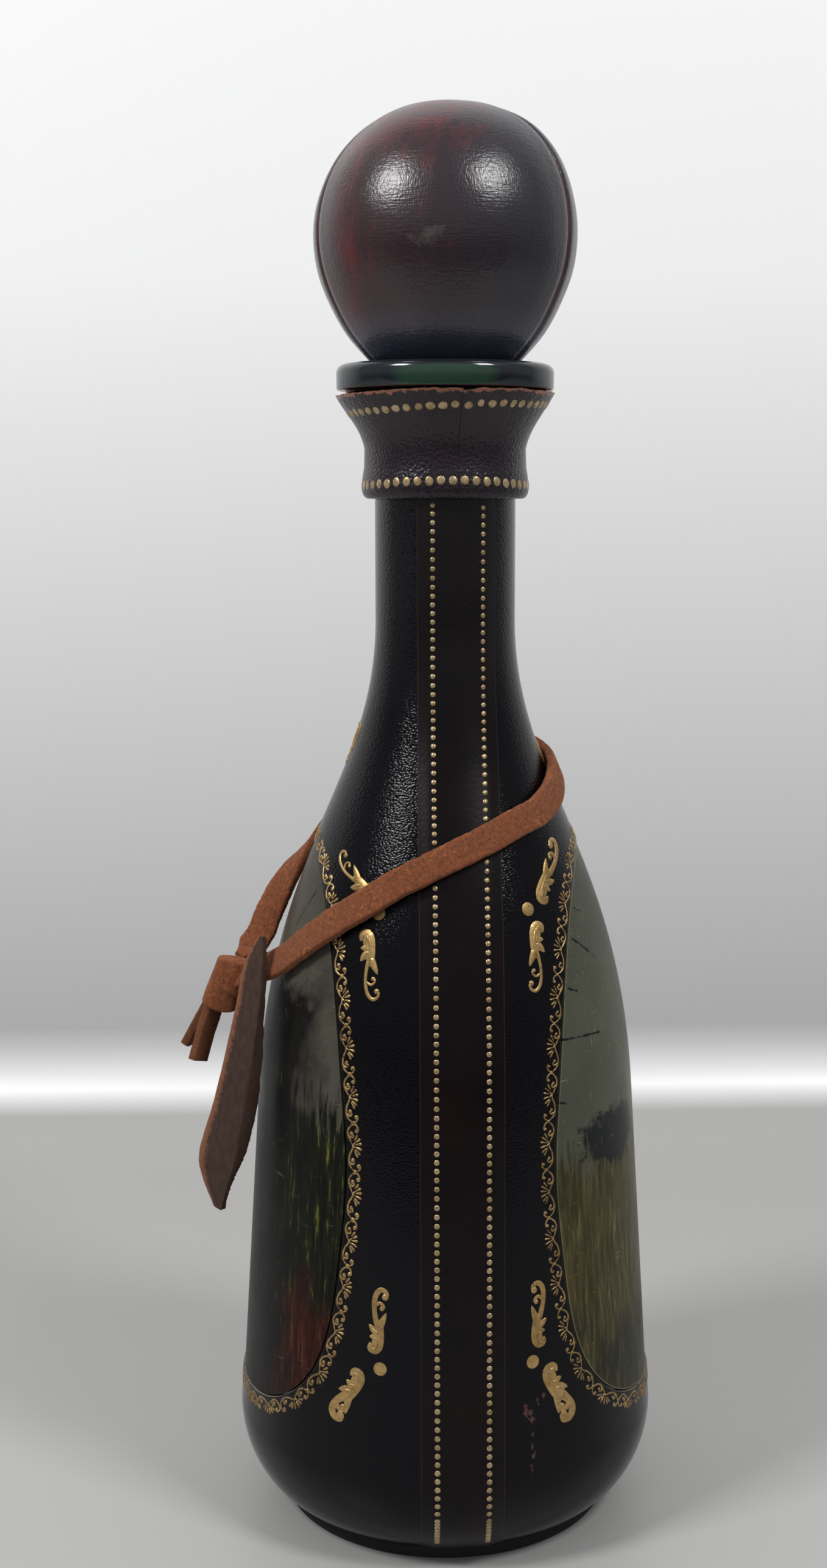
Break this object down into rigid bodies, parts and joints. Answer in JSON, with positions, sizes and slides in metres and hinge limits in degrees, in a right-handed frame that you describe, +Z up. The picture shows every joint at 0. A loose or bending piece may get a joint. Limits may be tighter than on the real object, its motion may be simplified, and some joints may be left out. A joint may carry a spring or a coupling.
{
  "type": "leather-wrapped glass bottle",
  "caption": "Tapered green glass bottle in a tooled leather wrap with inlaid side panels, a leather-covered ball stopper and a suede lace with a hang tag.",
  "frame": {"origin": "centre of the underside of the base disc", "axes": "+Z up along the bottle's axis; the front seam strip faces -Y; the painted panels face +X and -X"},
  "size_m": [0.1016, 0.0924, 0.2957],
  "materials": {
    "green_glass": "polished",
    "pebbled_leather": "semi-gloss pebbled",
    "oxblood_leather": "semi-gloss smooth",
    "ball_leather": "worn mottled",
    "painted_leather": "varnished paint",
    "felt": "matt",
    "cork": "matt",
    "wood": "turned, unfinished",
    "suede": "napped",
    "tag_leather": "matt"
  },
  "bodies": {
    "bottle": {"glass_bottle": "green_glass", "base_disc": "felt", "leather_half_left": "pebbled_leather", "leather_half_right": "pebbled_leather", "painted_panel_left": "painted_leather", "painted_panel_right": "painted_leather", "seam_strip_front": "oxblood_leather", "seam_strip_back": "oxblood_leather", "leather_collar": "oxblood_leather", "lace_loop": "suede", "lace_knot": "suede", "lace_tail_wide": "suede", "lace_tail_narrow": "suede"},
    "stopper": {"cork_plug": "cork", "stopper_dowel": "wood", "stopper_ball": "wood", "ball_cover_front": "ball_leather", "ball_cover_left": "ball_leather", "ball_cover_right": "ball_leather"},
    "tag": {"hang_tag": "tag_leather"}
  },
  "joints": [
    {"name": "stopper_lift", "type": "slide", "parent": "bottle", "child": "stopper", "axis": [0, 0, 1], "range_m": [0, 0.06]},
    {"name": "tag_swing", "type": "hinge", "parent": "bottle", "child": "tag", "pos_m": [-0.0382, -0.0146, 0.127], "axis": [0, 1, 0], "range_deg": [0, 50]}
  ]
}
